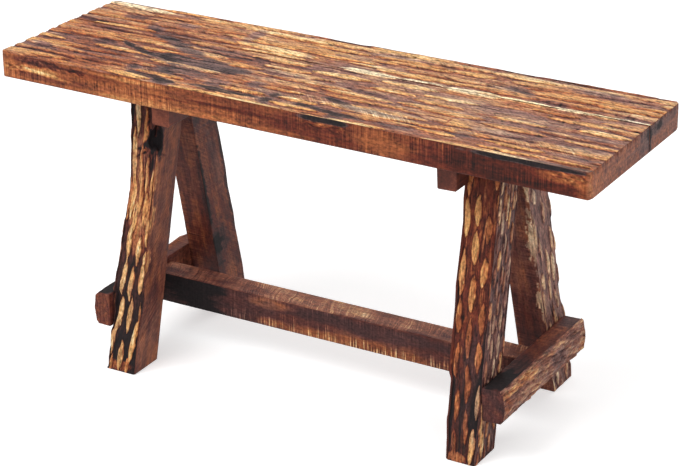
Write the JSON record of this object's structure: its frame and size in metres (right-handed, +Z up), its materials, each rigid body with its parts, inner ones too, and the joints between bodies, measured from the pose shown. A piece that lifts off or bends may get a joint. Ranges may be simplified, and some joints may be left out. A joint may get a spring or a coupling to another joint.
{
  "type": "bench",
  "caption": "Rustic trestle bench with a hewn plank seat on two A-shaped ends, tied by low crossbars and a long stretcher.",
  "frame": {"origin": "on the floor under the middle of the bench", "axes": "+X along the bench to the right, +Y to the back, +Z up"},
  "size_m": [0.9336, 0.3076, 0.457],
  "materials": {
    "seat_wood": "hewn and torched, oiled satin",
    "leg_wood": "bark side carved and torched, sawn sides stained red-brown",
    "rail_wood": "sawn, stained red-brown",
    "joint_wood": "bare hardwood",
    "steel": "zinc plated screws"
  },
  "bodies": {
    "root": {"left_back_leg": "leg_wood", "left_cleat": "rail_wood", "left_cleat_tenons": "joint_wood", "left_crossbar": "rail_wood", "left_crossbar_tenons": "joint_wood", "left_front_leg": "leg_wood", "left_seat_screws": "steel", "right_back_leg": "leg_wood", "right_cleat": "rail_wood", "right_cleat_tenons": "joint_wood", "right_crossbar": "rail_wood", "right_crossbar_tenons": "joint_wood", "right_front_leg": "leg_wood", "right_seat_screws": "steel", "seam_dowels": "joint_wood", "seat_back_plank": "seat_wood", "seat_front_plank": "seat_wood", "stretcher": "rail_wood"}
  },
  "joints": []
}
